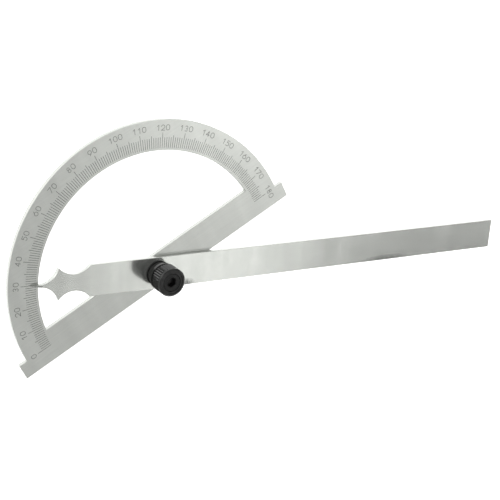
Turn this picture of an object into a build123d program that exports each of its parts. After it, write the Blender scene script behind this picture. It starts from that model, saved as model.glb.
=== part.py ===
from build123d import *
import math
import os

# Workshop protractor, size 150 x 200, lying on its back.
# Origin: on the pivot axis, in the plane of the back faces. +Z points up out of the graduated face,
# +X from the 0 degree end of the base bar to its 180 degree end, +Y to the crown of the half ring.
# All sizes in millimetres. At rest the rail is set to a reading of 30 degrees.

# ---- driving dimensions: half-ring plate
BASE_LENGTH = 150.0
RING_OUTER_R = 71.0
RING_INNER_R = 57.0
BAR_WIDTH = 15.0
PLATE_THICK = 2.5
EDGE_BREAK = 0.15

# ---- graduation, engraved in the top face of the ring
TICK_INNER_R = 58.1
TICK_OUTER_R = {1: 62.9, 5: 63.9, 10: 65.1}
TICK_WIDTH = 0.17
ENGRAVE_DEPTH = 0.1
LABEL_BASE_R = 66.15
DIGIT_HEIGHT = 2.4
DIGIT_WIDTH = 1.7
DIGIT_PITCH = 2.45
STROKE = 0.24
LABEL_STEP = 10

# ---- rail
RAIL_WIDTH = 15.0
RAIL_LENGTH = 200.0
RAIL_THICK = 2.5
REST_READING = 30.0
POINTER_LENGTH = 61.0
CUT_R = 9.3
WAIST_HALF = 3.9
NEEDLE_HALF = 0.5
BEVEL_START = 56.0
TIP_THICK = 0.7
BARB_S = 48.5
BARB_FLAT = 0.3

# ---- pivot and clamp (M5 thread)
BARREL_D = 8.0
RUNNING_GAP = 0.05
FLANGE_D = 11.0
FLANGE_THICK = 1.0
BARREL_SHORT = 0.1
BUSH_FLOOR = 0.8
SCREW_D = 5.0
THREAD_PITCH = 0.8
THREAD_DEPTH = 0.43
THREAD_FOOT = 0.42 * THREAD_PITCH
THREAD_CREST = 0.08 * THREAD_PITCH
PLAIN_SHANK = 2.0
TIP_CHAMFER = 0.3
WASHER_D = 12.0
WASHER_THICK = 0.7
COLLAR_D = 11.2
HEAD_D = 13.4
HEAD_REAR = 4.4
HEAD_FRONT = 14.4
HEAD_CHAMFER = 0.65
REAR_BAND = 1.6
FRONT_BAND = 0.3
GROOVE_WIDTH = 0.4
KNURL_TEETH = 36
KNURL_DEPTH = 0.4
FACE_RECESS_D = 10.5
FACE_RECESS = 0.25
SOCKET_HEAD_D = 8.5
SOCKET_HEAD_H = 5.0
SOCKET_HEAD_SUNK = 0.15
SOCKET_HEAD_CHAMFER = 0.25
SCREW_LENGTH = 12.0
HEX_AF = 4.0
HEX_DEPTH = 2.5
HEX_CHAMFER = 0.35

RAIL_TOP = PLATE_THICK + RAIL_THICK
WASHER_TOP = RAIL_TOP + WASHER_THICK
BARREL_TOP = RAIL_TOP - BARREL_SHORT
FACE_Z = RAIL_TOP + HEAD_FRONT
RECESS_Z = FACE_Z - FACE_RECESS
SCREW_TOP = RECESS_Z - SOCKET_HEAD_SUNK
SCREW_SEAT = SCREW_TOP - SOCKET_HEAD_H
SCREW_TIP = SCREW_SEAT - SCREW_LENGTH


def disc(diameter, low, high):
    """A solid disc on the pivot axis between two heights."""
    return Pos(0, 0, low) * extrude(Circle(diameter / 2), amount=high - low)


def turned(points):
    """A solid of revolution about the pivot axis from (radius, height) points."""
    outline = Polyline(*[(r, 0, z) for r, z in points], close=True)
    return revolve(make_face(outline), axis=Axis.Z)


def broken_edges(solid, low, high):
    """Break the sharp outer edges of a flat blank, on its top and bottom faces."""
    rims = [e for e in solid.edges() if abs(e.center().Z - low) < 1e-6 or abs(e.center().Z - high) < 1e-6]
    return chamfer(rims, EDGE_BREAK)


# ---------------------------------------------------------------- engraving
def stroke_line(x1, y1, x2, y2):
    """A straight stroke with round ends, as a round cutter leaves it."""
    length = math.hypot(x2 - x1, y2 - y1)
    turn = math.degrees(math.atan2(y2 - y1, x2 - x1))
    slot = SlotCenterToCenter(length, STROKE)
    return Pos((x1 + x2) / 2, (y1 + y2) / 2) * Rot(0, 0, turn) * slot


def stroke_arc(x, y, radius, start, size):
    """A curved stroke with round ends, from a start angle over a signed angle."""
    arc = CenterArc((x, y), radius, start, size)
    return SlotArc(arc, STROKE)


def stroke_ring(x, y, radius):
    """A closed round stroke."""
    ring = Circle(radius + STROKE / 2) - Circle(radius - STROKE / 2)
    return Pos(x, y) * ring


def digit_sketch(digit):
    """One engraved numeral, lower left corner of its stroke centres on the origin."""
    high = DIGIT_HEIGHT
    wide = DIGIT_WIDTH
    half = wide / 2
    bowl = high / 4
    stem = 0.68 * wide
    bar = 0.3 * high
    small = 0.23 * high
    large = high / 2 - small
    if digit == 0:
        parts = [
            stroke_arc(half, half, half, 180, 180),
            stroke_arc(half, high - half, half, 0, 180),
            stroke_line(0, half, 0, high - half),
            stroke_line(wide, half, wide, high - half),
        ]
    elif digit == 1:
        parts = [
            stroke_line(stem, 0, stem, high),
            stroke_line(stem, high, half / 2, high - bowl),
        ]
    elif digit == 2:
        bend = math.radians(-40)
        end_x = half + half * math.cos(bend)
        end_y = high - half + half * math.sin(bend)
        parts = [
            stroke_arc(half, high - half, half, -40, 210),
            stroke_line(end_x, end_y, 0, 0),
            stroke_line(0, 0, wide, 0),
        ]
    elif digit == 3:
        parts = [
            stroke_arc(half, 3 * bowl, bowl, -90, 240),
            stroke_arc(half, bowl, bowl, -150, 240),
        ]
    elif digit == 4:
        parts = [
            stroke_line(stem, high, 0, bar),
            stroke_line(0, bar, wide, bar),
            stroke_line(stem, high, stem, 0),
        ]
    elif digit == 5:
        belly = high / 3
        start = math.radians(125)
        left = belly + belly * math.cos(start)
        parts = [
            stroke_line(wide, high, left, high),
            stroke_line(left, high, left, belly + belly * math.sin(start)),
            stroke_arc(belly, belly, belly, -145, 270),
        ]
    elif digit == 6:
        parts = [
            stroke_ring(half, half, half),
            stroke_line(0.06 * wide, 0.49 * high, stem, high),
        ]
    elif digit == 7:
        parts = [
            stroke_line(0, high, wide, high),
            stroke_line(wide, high, half / 2, 0),
        ]
    elif digit == 8:
        parts = [
            stroke_ring(half, large, large),
            stroke_ring(half, high - small, small),
        ]
    else:
        parts = [
            stroke_ring(half, high - half, half),
            stroke_line(0.94 * wide, 0.51 * high, wide - stem, 0),
        ]
    return Sketch() + parts


def reading_angle(reading):
    """Angle from +X, in degrees, of a reading on the scale."""
    return 180.0 - reading


def tick(reading):
    """The cutter for one graduation mark."""
    step = next(s for s in (10, 5, 1) if reading % s == 0)
    length = TICK_OUTER_R[step] - TICK_INNER_R
    middle = TICK_INNER_R + length / 2
    mark = extrude(Rectangle(length, TICK_WIDTH), amount=-ENGRAVE_DEPTH)
    return Pos(0, 0, PLATE_THICK) * Rot(0, 0, reading_angle(reading)) * Pos(middle, 0) * mark


def label(reading, glyphs):
    """The cutters for one number, centred on its mark with its top to the outer edge."""
    text = str(reading)
    turn = Pos(0, 0, PLATE_THICK) * Rot(0, 0, reading_angle(reading) - 90)
    start = -(DIGIT_PITCH * (len(text) - 1) + DIGIT_WIDTH) / 2
    places = [turn * Pos(start + i * DIGIT_PITCH, LABEL_BASE_R) for i in range(len(text))]
    return [place * glyphs[int(c)] for place, c in zip(places, text)]


def graduation():
    """Every engraved mark and number."""
    glyphs = [extrude(digit_sketch(d), amount=-ENGRAVE_DEPTH) for d in range(10)]
    marks = [tick(reading) for reading in range(181)]
    for reading in range(0, 181, LABEL_STEP):
        marks.extend(label(reading, glyphs))
    return marks


# ---------------------------------------------------------------- pieces
def arc_plate():
    """Half ring, base bar and ears in one blank, with the seat for the pivot bush."""
    half_bar = BAR_WIDTH / 2
    half_disc = Circle(RING_OUTER_R) & Pos(0, RING_OUTER_R) * Rectangle(BASE_LENGTH, 2 * RING_OUTER_R)
    bar_below = Pos(0, -half_bar / 2) * Rectangle(BASE_LENGTH, half_bar)
    window = Circle(RING_INNER_R) & Pos(0, half_bar + RING_INNER_R) * Rectangle(BASE_LENGTH, 2 * RING_INNER_R)
    blank = extrude(half_disc + bar_below - window, amount=PLATE_THICK)
    blank = broken_edges(blank, 0, PLATE_THICK)
    seat = disc(BARREL_D, 0, PLATE_THICK) + disc(FLANGE_D, 0, FLANGE_THICK)
    return blank - seat - graduation()


def rail_outline():
    """Outline of the rail along +X, with the fishtail pointer towards -X."""
    half = RAIL_WIDTH / 2
    side_v = WAIST_HALF + CUT_R
    side_chord = math.sqrt(CUT_R ** 2 - (side_v - half) ** 2)
    side_end = -BARB_S + BARB_FLAT / 2
    side_s = side_end + side_chord
    front_v = NEEDLE_HALF + CUT_R
    front_chord = math.sqrt(CUT_R ** 2 - (front_v - half) ** 2)
    front_start = -BARB_S - BARB_FLAT / 2
    front_s = front_start - front_chord
    upper = [
        Line((RAIL_LENGTH, 0), (RAIL_LENGTH, half)),
        Line((RAIL_LENGTH, half), (side_s + side_chord, half)),
        ThreePointArc((side_s + side_chord, half), (side_s, WAIST_HALF), (side_end, half)),
        Line((side_end, half), (front_start, half)),
        RadiusArc((front_start, half), (front_s, NEEDLE_HALF), CUT_R),
        Line((front_s, NEEDLE_HALF), (-POINTER_LENGTH, 0)),
    ]
    lower = [edge.mirror(Plane.XZ) for edge in upper]
    return make_face(upper + lower)


def pointer_bevel():
    """The cutter that slopes the pointer's top down to a thin tip on the scale."""
    slope = (RAIL_THICK - TIP_THICK) / (POINTER_LENGTH - BEVEL_START)
    beyond = POINTER_LENGTH + 1
    outline = Polyline(
        (-BEVEL_START, 0, RAIL_THICK),
        (-beyond, 0, RAIL_THICK - slope * (beyond - BEVEL_START)),
        (-beyond, 0, RAIL_THICK + 1),
        (-BEVEL_START, 0, RAIL_THICK + 1),
        close=True,
    )
    return extrude(make_face(outline), amount=RAIL_WIDTH, both=True)


def rail():
    """The swinging rail, turned to its rest reading on top of the plate."""
    blank = broken_edges(extrude(rail_outline(), amount=RAIL_THICK), 0, RAIL_THICK)
    blank = blank - disc(BARREL_D + 2 * RUNNING_GAP, 0, RAIL_THICK) - pointer_bevel()
    return Pos(0, 0, PLATE_THICK) * Rot(0, 0, -REST_READING) * blank


def pivot_bush():
    """Flanged bush pressed in from the back, with a blind hole for the screw."""
    body = disc(FLANGE_D, 0, FLANGE_THICK) + disc(BARREL_D, 0, BARREL_TOP)
    return body - disc(SCREW_D + 2 * RUNNING_GAP, BUSH_FLOOR, BARREL_TOP)


def washer():
    """Thin washer between the rail and the knob's collar."""
    blank = broken_edges(disc(WASHER_D, RAIL_TOP, WASHER_TOP), RAIL_TOP, WASHER_TOP)
    return blank - disc(SCREW_D + 2 * RUNNING_GAP, RAIL_TOP, WASHER_TOP)


def knurled_band(low, high):
    """The grip's knurled length, a ring of straight V teeth."""
    tip = HEAD_D / 2
    root = tip - KNURL_DEPTH
    half_step = math.pi / KNURL_TEETH
    points = []
    for i in range(2 * KNURL_TEETH):
        radius = tip if i % 2 == 0 else root
        points.append((radius * math.cos(i * half_step), radius * math.sin(i * half_step)))
    outline = make_face(Polyline(*points, close=True))
    return Pos(0, 0, low) * extrude(outline, amount=high - low)


def knob_grip():
    """Knurled head on a narrower collar, bored for the socket screw."""
    rear = RAIL_TOP + HEAD_REAR
    rear_band_top = rear + HEAD_CHAMFER + REAR_BAND
    front_band_low = FACE_Z - HEAD_CHAMFER - FRONT_BAND
    tip = HEAD_D / 2
    root = tip - KNURL_DEPTH
    collar = COLLAR_D / 2
    body = turned([
        (0, WASHER_TOP),
        (collar, WASHER_TOP),
        (collar, rear),
        (tip - HEAD_CHAMFER, rear),
        (tip, rear + HEAD_CHAMFER),
        (tip, rear_band_top),
        (root, rear_band_top),
        (root, front_band_low),
        (tip, front_band_low),
        (tip, FACE_Z - HEAD_CHAMFER),
        (tip - HEAD_CHAMFER, FACE_Z),
        (0, FACE_Z),
    ])
    body = body + knurled_band(rear_band_top + GROOVE_WIDTH, front_band_low - GROOVE_WIDTH)
    body = body - disc(FACE_RECESS_D, RECESS_Z, FACE_Z)
    body = body - disc(SOCKET_HEAD_D, SCREW_SEAT, RECESS_Z)
    return body - disc(SCREW_D + 2 * RUNNING_GAP, WASHER_TOP, SCREW_SEAT)


def screw_thread(low, high):
    """A helical ridge for the screw's thread, trimmed square at both heights."""
    root = SCREW_D / 2 - THREAD_DEPTH
    buried = root - THREAD_DEPTH / 4
    start = low - THREAD_PITCH
    path = Pos(0, 0, start) * Helix(THREAD_PITCH, high - low + 2 * THREAD_PITCH, root)
    profile = Polyline(
        (buried, 0, start - THREAD_FOOT),
        (SCREW_D / 2, 0, start - THREAD_CREST),
        (SCREW_D / 2, 0, start + THREAD_CREST),
        (buried, 0, start + THREAD_FOOT),
        close=True,
    )
    ridge = sweep(make_face(profile), path=path, is_frenet=True)
    return ridge & disc(2 * SCREW_D, low, high)


def hexagon_socket():
    """The cutter for the key socket, with its chamfered mouth."""
    hexagon = extrude(RegularPolygon(HEX_AF / 2, 6, major_radius=False), amount=HEX_DEPTH)
    mouth_r = HEX_AF / 2 / math.cos(math.pi / 6) + HEX_CHAMFER / 3
    mouth_floor = SCREW_TOP - HEX_CHAMFER
    mouth = turned([
        (0, SCREW_TOP),
        (mouth_r, SCREW_TOP),
        (mouth_r - HEX_CHAMFER, mouth_floor),
        (0, mouth_floor),
    ])
    return Pos(0, 0, SCREW_TOP - HEX_DEPTH) * hexagon + mouth


def clamp_screw():
    """Hexagon-socket screw held in the grip, threaded at its lower end."""
    thread_top = WASHER_TOP + PLAIN_SHANK
    head = disc(SOCKET_HEAD_D, SCREW_SEAT, SCREW_TOP)
    head = chamfer(head.edges().group_by(Axis.Z)[-1], SOCKET_HEAD_CHAMFER)
    shank = disc(SCREW_D, thread_top, SCREW_SEAT)
    core = disc(SCREW_D - 2 * THREAD_DEPTH, SCREW_TIP, thread_top)
    core = chamfer(core.edges().group_by(Axis.Z)[0], TIP_CHAMFER)
    thread = screw_thread(SCREW_TIP + TIP_CHAMFER, thread_top)
    return head + shank + core + thread - hexagon_socket()


PIECES = {
    "arc_plate": arc_plate,
    "rail": rail,
    "pivot_bush": pivot_bush,
    "washer": washer,
    "knob_grip": knob_grip,
    "clamp_screw": clamp_screw,
}

os.makedirs("parts", exist_ok=True)
for name, make in PIECES.items():
    export_step(make(), f"parts/{name}.step")
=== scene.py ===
import math

import bpy
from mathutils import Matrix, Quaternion, Vector


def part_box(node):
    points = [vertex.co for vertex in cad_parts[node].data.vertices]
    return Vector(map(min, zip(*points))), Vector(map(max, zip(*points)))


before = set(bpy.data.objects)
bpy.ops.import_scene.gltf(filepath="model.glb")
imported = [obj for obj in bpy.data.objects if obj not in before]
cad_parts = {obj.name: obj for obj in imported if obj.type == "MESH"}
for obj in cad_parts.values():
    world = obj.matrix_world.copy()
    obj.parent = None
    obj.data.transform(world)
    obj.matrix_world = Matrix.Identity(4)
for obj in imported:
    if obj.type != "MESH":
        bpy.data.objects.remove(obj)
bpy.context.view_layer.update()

# Metres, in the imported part's frame: origin on the pivot axis at the back faces, +Z out of the
# graduated face, +X along the base bar, +Y to the crown of the half ring.
MM = 0.001

PLATE_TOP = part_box("arc_plate")[1].z
RAIL_ANGLE = math.radians(-30.0)

# The engraved marks lie in this band of the ring, just under the top face, in millimetres.
ENGRAVED_INNER_R = 57.8
NUMERALS_INNER_R = 65.6
ENGRAVED_OUTER_R = 69.4
ENGRAVED_LOW_Y = -5.0
ENGRAVED_FLOOR = PLATE_TOP / MM - 0.12
ENGRAVED_LIP = PLATE_TOP / MM - 0.004
# Grey of the paint in the ticks and in the numerals.
TICK_FILL = 0.05
NUMERAL_FILL = 0.32

# Dark patches at the rail's lower edge: the first, beside the knob, is painted shade of the knob;
# the second, further along, is a dark patch. Middle along and across it, half sizes, in
# millimetres, and strength.
RAIL_SHADE_AND_DARK_PATCHES = [
    (14.5, -6.6, 4.5, 2.2, 0.75),
    (130.0, -6.6, 15.0, 1.8, 0.45),
]
# How far the rail's reflections are drawn out square to its grinding lines.
RAIL_SPREAD = 0.2
# Metallic share of the whole rail: a little below 1, which softens what it mirrors.
RAIL_METALLIC = 0.85

# The grip's rim, lightened by a painted highlight, in millimetres: its radius, how far inside it
# the highlight starts and is full, and where the front chamfer starts. Then its tone.
RIM_R = 6.7
RIM_FADE = (0.45, 0.3)
FACE_EDGE_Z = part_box("knob_grip")[1].z / MM - 0.7
RIM_HIGHLIGHT_TONE = 0.05

BLACK_SPECULAR = 0.4
FLOOR_HALF_SIDE = 3.0
FLOOR_DROP = 0.02 * MM


# ---------------------------------------------------------------- node helpers
class Nodes:
    """A short way to build one node tree."""

    def __init__(self, tree):
        self.tree = tree

    def add(self, kind, **inputs):
        node = self.tree.nodes.new(kind)
        for name, value in inputs.items():
            self.set(node, name.replace("_", " "), value)
        return node

    def set(self, node, name, value):
        socket = node.inputs[int(name)] if name.isdigit() else node.inputs[name]
        if isinstance(value, bpy.types.NodeSocket):
            self.tree.links.new(value, socket)
        else:
            socket.default_value = value

    def math(self, operation, first, second=0.0):
        node = self.tree.nodes.new("ShaderNodeMath")
        node.operation = operation
        self.set(node, "0", first)
        self.set(node, "1", second)
        return node.outputs[0]

    def span(self, value, low, high, to_low=0.0, to_high=1.0):
        node = self.add("ShaderNodeMapRange")
        for name, number in (("Value", value), ("From Min", low), ("From Max", high),
                             ("To Min", to_low), ("To Max", to_high)):
            self.set(node, name, number)
        return node.outputs[0]

    def mix(self, share, first, second):
        node = self.tree.nodes.new("ShaderNodeMix")
        node.data_type = "RGBA"
        self.set(node, "Factor", share)
        self.set(node, "6", first)
        self.set(node, "7", second)
        return node.outputs[2]

    def noise(self, vector, scale, detail=3.0, roughness=0.5):
        node = self.add("ShaderNodeTexNoise", Vector=vector, Scale=scale, Detail=detail)
        node.inputs["Roughness"].default_value = roughness
        return node.outputs[0]

    def bump(self, height, strength, distance):
        node = self.add("ShaderNodeBump", Height=height, Strength=strength, Distance=distance)
        return node.outputs[0]


def new_material(name):
    """An empty node material, with its principled shader."""
    material = bpy.data.materials.new(name)
    material.use_nodes = True
    shader = material.node_tree.nodes["Principled BSDF"]
    return material, Nodes(material.node_tree), shader


def millimetres(nodes):
    """Object coordinates, in millimetres."""
    scale = nodes.tree.nodes.new("ShaderNodeVectorMath")
    scale.operation = "SCALE"
    nodes.set(scale, "0", nodes.add("ShaderNodeTexCoord").outputs["Object"])
    scale.inputs["Scale"].default_value = 1.0 / MM
    return scale.outputs[0]


def stretched(nodes, place, turn, along, across):
    """Coordinates turned about Z and drawn out, so that a noise of scale 1 makes lines."""
    mapping = nodes.add("ShaderNodeMapping", Vector=place)
    mapping.vector_type = "TEXTURE"
    mapping.inputs["Rotation"].default_value = (0, 0, turn)
    mapping.inputs["Scale"].default_value = (along, across, across)
    return mapping.outputs[0]


def split(nodes, vector):
    """The X, Y and Z of a vector."""
    return nodes.add("ShaderNodeSeparateXYZ", Vector=vector).outputs


def radius(nodes, x, y):
    """Length of the vector x, y."""
    square = nodes.math("ADD", nodes.math("MULTIPLY", x, x), nodes.math("MULTIPLY", y, y))
    return nodes.math("SQRT", square)


def steepness(nodes):
    """0 on level faces, 1 on upright walls."""
    normal = split(nodes, nodes.add("ShaderNodeTexCoord").outputs["Normal"])
    return nodes.span(nodes.math("ABSOLUTE", normal[2]), 0.6, 0.2)


# ---------------------------------------------------------------- materials
def grey(level):
    """A steel grey with a trace of green."""
    return (0.975 * level, level, 0.96 * level, 1.0)


def spread(nodes, shader, turn, share):
    """Draw the shader's reflections out in one direction, square to the grinding lines."""
    to_world = nodes.tree.nodes.new("ShaderNodeVectorTransform")
    to_world.convert_from = "OBJECT"
    to_world.convert_to = "WORLD"
    to_world.inputs[0].default_value = (math.cos(turn), math.sin(turn), 0.0)
    nodes.set(shader, "Tangent", to_world.outputs[0])
    shader.inputs["Anisotropic"].default_value = share


def darken_shade_and_patches(nodes, level, along_rail):
    """Darken the tone level at each listed rail patch: painted shade beside the knob, and a dark patch
    further along.
    """
    s, v = split(nodes, along_rail)[:2]
    streaks = nodes.noise(stretched(nodes, along_rail, 0.0, 0.8, 3.0), 1.0, 2.0, 0.5)
    for centre_s, centre_v, half_s, half_v, strength in RAIL_SHADE_AND_DARK_PATCHES:
        far_s = nodes.math("DIVIDE", nodes.math("SUBTRACT", s, centre_s), half_s)
        far_v = nodes.math("DIVIDE", nodes.math("SUBTRACT", v, centre_v), half_v)
        near = nodes.span(radius(nodes, far_s, far_v), 1.2, 0.3)
        patchy = nodes.math("MULTIPLY", near, nodes.span(streaks, 0.3, 0.6, 0.4, 1.0))
        keep = nodes.math("SUBTRACT", 1.0, nodes.math("MULTIPLY", patchy, strength))
        level = nodes.math("MULTIPLY", level, keep)
    return level


def ground_steel(name, turn, tone, wall_shade, roughness, line_length, engraved=False, rail=False):
    """Ground sheet steel: fine grinding lines along one direction, soft patches in its gloss, and
    painted shade on its upright walls.
    """
    material, nodes, shader = new_material(name)
    place = millimetres(nodes)
    lines = nodes.noise(stretched(nodes, place, turn, line_length, 0.7), 1.0, 4.0, 0.6)
    bands = nodes.noise(stretched(nodes, place, turn, 9.0, 60.0), 1.0, 2.0, 0.5)
    gloss = nodes.noise(place, 0.09, 3.0, 0.55)
    speck = nodes.noise(place, 0.9, 2.0, 0.6)
    level = nodes.span(lines, 0.3, 0.7, 0.97, 1.03)
    level = nodes.math("MULTIPLY", level, nodes.span(bands, 0.3, 0.7, 0.95, 1.05))
    level = nodes.math("MULTIPLY", level, nodes.span(speck, 0.62, 0.8, 1.0, 0.93))
    if rail:
        # Painted shade beside the knob, and a dark patch further along the rail.
        level = darken_shade_and_patches(nodes, level, stretched(nodes, place, RAIL_ANGLE, 1.0, 1.0))
        spread(nodes, shader, RAIL_ANGLE + math.pi / 2, RAIL_SPREAD)
    face = nodes.mix(level, (0, 0, 0, 1), grey(tone))
    face.node.clamp_factor = False
    # The upright walls take a darker tone than the faces: painted shade.
    colour = nodes.mix(steepness(nodes), face, grey(wall_shade))
    rough = nodes.span(gloss, 0.3, 0.7, roughness - 0.015, roughness + 0.015)
    rough = nodes.math("ADD", rough, nodes.span(lines, 0.3, 0.7, -0.01, 0.01))
    if engraved:
        mark, numeral = engraved_masks(nodes, place)
        fill = nodes.mix(numeral, grey(TICK_FILL), grey(NUMERAL_FILL))
        colour = nodes.mix(mark, colour, fill)
        rough = nodes.math("ADD", rough, nodes.math("MULTIPLY", mark, 0.3))
    nodes.set(shader, "Base Color", colour)
    nodes.set(shader, "Roughness", rough)
    shader.inputs["Metallic"].default_value = RAIL_METALLIC if rail else 1.0
    return material


def engraved_masks(nodes, place):
    """1 inside the engraved marks and 0 elsewhere, and 1 where those marks are numerals."""
    x, y, z = split(nodes, place)
    reach = radius(nodes, x, y)
    inside = nodes.math("LESS_THAN", z, ENGRAVED_LIP)
    for test in (
        nodes.math("GREATER_THAN", z, ENGRAVED_FLOOR),
        nodes.math("GREATER_THAN", reach, ENGRAVED_INNER_R),
        nodes.math("LESS_THAN", reach, ENGRAVED_OUTER_R),
        nodes.math("GREATER_THAN", y, ENGRAVED_LOW_Y),
    ):
        inside = nodes.math("MULTIPLY", inside, test)
    return inside, nodes.math("GREATER_THAN", reach, NUMERALS_INNER_R)


def black_oxide(name, tone, worn, roughness, grip=False):
    """Blackened steel: near black, slightly oily, greyer in patches, with a painted highlight on the
    rim of the grip.
    """
    material, nodes, shader = new_material(name)
    place = millimetres(nodes)
    patch = nodes.noise(place, 0.5, 4.0, 0.6)
    speck = nodes.noise(place, 3.0, 2.0, 0.5)
    wear = nodes.span(patch, 0.45, 0.75, 0.0, 0.6)
    colour = nodes.mix(wear, grey(tone), grey(worn))
    if grip:
        x, y, z = split(nodes, place)
        # Painted highlight on the front chamfer round the rim of the grip.
        outer = nodes.span(radius(nodes, x, y), RIM_R - RIM_FADE[0], RIM_R - RIM_FADE[1])
        rim = nodes.math("MULTIPLY", outer, nodes.math("GREATER_THAN", z, FACE_EDGE_Z))
        colour = nodes.mix(rim, colour, grey(RIM_HIGHLIGHT_TONE))
    nodes.set(shader, "Base Color", colour)
    nodes.set(shader, "Roughness", nodes.span(patch, 0.3, 0.7, roughness - 0.06, roughness + 0.08))
    nodes.set(shader, "Normal", nodes.bump(speck, 0.3, 0.01 * MM))
    shader.inputs["Specular IOR Level"].default_value = BLACK_SPECULAR
    return material


def dress(node, material):
    """Give a CAD node its finished material."""
    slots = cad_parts[node].data.materials
    slots.clear()
    slots.append(material)


def dress_frame():
    """Finish every piece: tone and worn tone or tone of the painted shade on the walls, roughness,
    length of grinding lines.
    """
    dress("arc_plate", ground_steel("plate_steel", 0.0, 0.73, 0.60, 0.34, 14.0, engraved=True))
    dress("rail", ground_steel("rail_steel", RAIL_ANGLE, 0.84, 0.60, 0.21, 25.0, rail=True))
    dress("pivot_bush", ground_steel("bush_steel", 0.6, 0.6, 0.55, 0.34, 8.0))
    dress("knob_grip", black_oxide("black_grip", 0.004, 0.018, 0.2, grip=True))
    dress("clamp_screw", black_oxide("black_screw", 0.006, 0.022, 0.3))
    dress("washer", black_oxide("black_washer", 0.006, 0.012, 0.45))


# ---------------------------------------------------------------- stage
def floor():
    """The plain floor that the tool lies on. It gives off light, so that it renders white."""
    side = FLOOR_HALF_SIDE
    mesh = bpy.data.meshes.new("floor")
    low = -FLOOR_DROP
    corners = [(-side, -side, low), (side, -side, low), (side, side, low), (-side, side, low)]
    mesh.from_pydata(corners, [], [(0, 1, 2, 3)])
    ground = bpy.data.objects.new("floor", mesh)
    bpy.context.scene.collection.objects.link(ground)
    material, nodes, shader = new_material("floor_white")
    place = nodes.add("ShaderNodeTexCoord").outputs["Object"]
    tone = nodes.mix(nodes.noise(place, 3.0), (0.93, 0.93, 0.93, 1), (0.95, 0.95, 0.95, 1))
    nodes.set(shader, "Base Color", tone)
    shader.inputs["Roughness"].default_value = 0.9
    shader.inputs["Specular IOR Level"].default_value = 0.1
    shader.inputs["Emission Color"].default_value = (1.0, 1.0, 1.0, 1.0)
    shader.inputs["Emission Strength"].default_value = FLOOR_GLOW
    material.cycles.emission_sampling = "NONE"
    mesh.materials.append(material)


def direction(azimuth, elevation):
    """Unit vector towards an azimuth from +X and an elevation, in degrees."""
    a = math.radians(azimuth)
    e = math.radians(elevation)
    return Vector((math.cos(e) * math.cos(a), math.cos(e) * math.sin(a), math.sin(e)))


# Soft glows of the studio: azimuth, elevation, half width in degrees, radiance at the middle.
# They are tuned so that the rendered tones come near those of the reference view.
GLOWS = {
    "behind_camera": (117.0, 5.0, 58.0, 0.85),
    "low_behind_camera": (117.0, 28.0, 12.0, 1.6),
    "overhead": (117.0, 88.0, 11.0, 0.7),
    "side_right": (40.0, 15.0, 25.0, 0.6),
    "side_left": (195.0, 15.0, 25.0, 0.6),
    "beyond_rail": (-64.5, 55.3, 4.2, 2.0),
    "beyond_right": (-31.0, 55.0, 6.5, 10.0),
    "beyond_left": (-91.0, 55.8, 6.0, 2.0),
    "beyond_far": (-51.0, 40.0, 4.5, 0.4),
    "low_beyond": (-50.0, 6.0, 20.0, 0.7),
}
ROOM_LEVEL = 0.07
FLOOR_GLOW = 1.0


def glow(nodes, towards, azimuth, elevation, half_width, radiance):
    """A soft round glow in the studio, brightest in one direction."""
    dot = nodes.tree.nodes.new("ShaderNodeVectorMath")
    dot.operation = "DOT_PRODUCT"
    nodes.set(dot, "0", towards)
    dot.inputs[1].default_value = direction(azimuth, elevation)
    fall = nodes.math("MULTIPLY", nodes.math("SUBTRACT", dot.outputs["Value"], 1.0),
                      2.0 / math.radians(half_width) ** 2)
    return nodes.math("MULTIPLY", nodes.math("EXPONENT", fall), radiance)


def lights():
    """A dim room with soft glows. The strongest lies beyond the rail, where the steel mirrors it."""
    world = bpy.data.worlds.new("studio")
    bpy.context.scene.world = world
    world.use_nodes = True
    nodes = Nodes(world.node_tree)
    background = world.node_tree.nodes["Background"]
    towards = nodes.add("ShaderNodeTexCoord").outputs["Generated"]
    level = ROOM_LEVEL
    for azimuth, elevation, half_width, radiance in GLOWS.values():
        level = nodes.math("ADD", glow(nodes, towards, azimuth, elevation, half_width, radiance), level)
    background.inputs["Color"].default_value = (1.0, 1.0, 0.985, 1.0)
    nodes.set(background, "Strength", level)


def camera():
    """The camera of the reference view: a long lens above the crown side, rolled over."""
    eye = Vector((-0.1196, 0.2834, 0.4752))
    aim = Vector((0.04595, -0.02065, PLATE_TOP))
    roll = math.radians(120.68)
    data = bpy.data.cameras.new("camera")
    data.lens = 88.1
    data.sensor_width = 36.0
    data.clip_start = 0.01
    data.clip_end = 20.0
    item = bpy.data.objects.new("camera", data)
    item.location = eye
    item.rotation_mode = "QUATERNION"
    item.rotation_quaternion = (aim - eye).to_track_quat("-Z", "Y") @ Quaternion((0, 0, 1), roll)
    bpy.context.scene.collection.objects.link(item)
    bpy.context.scene.camera = item


camera()
dress_frame()
floor()
lights()
bpy.context.scene.view_settings.view_transform = "Standard"
